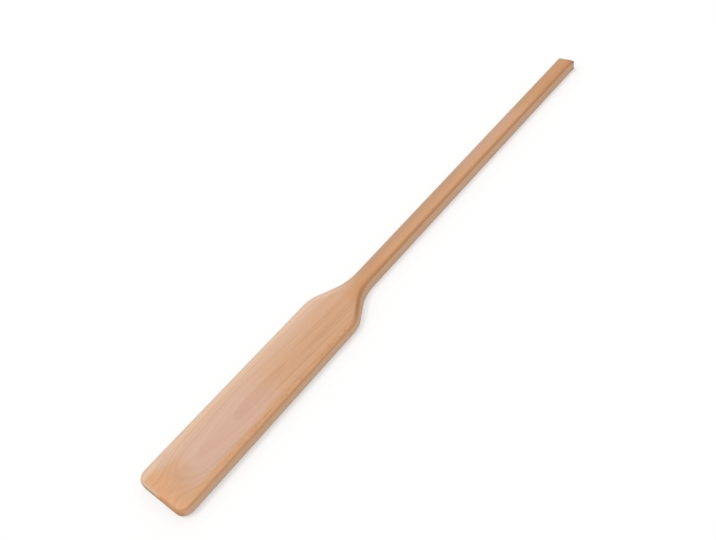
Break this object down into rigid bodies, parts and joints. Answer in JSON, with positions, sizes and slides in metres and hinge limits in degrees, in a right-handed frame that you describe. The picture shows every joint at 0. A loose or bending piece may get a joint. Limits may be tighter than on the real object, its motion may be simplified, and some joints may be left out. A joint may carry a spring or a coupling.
{
  "type": "stirring paddle",
  "caption": "Long wooden stirring paddle with a flat round-cornered blade, thinned margins and sloped shoulders that run into a straight, square-cut handle.",
  "frame": {"origin": "middle of the paddle's length and width, on the plane of its flat back", "axes": "+X from the tip of the blade to the end of the handle, +Y across the blade, +Z out of the front face, up through the board"},
  "size_m": [1.219, 0.115, 0.022],
  "materials": {
    "wood": "fine sanded bare hardwood with a faint sheen, pinkish tan with orange streaks along the grain"
  },
  "bodies": {
    "root": {"paddle": "wood"}
  },
  "joints": []
}
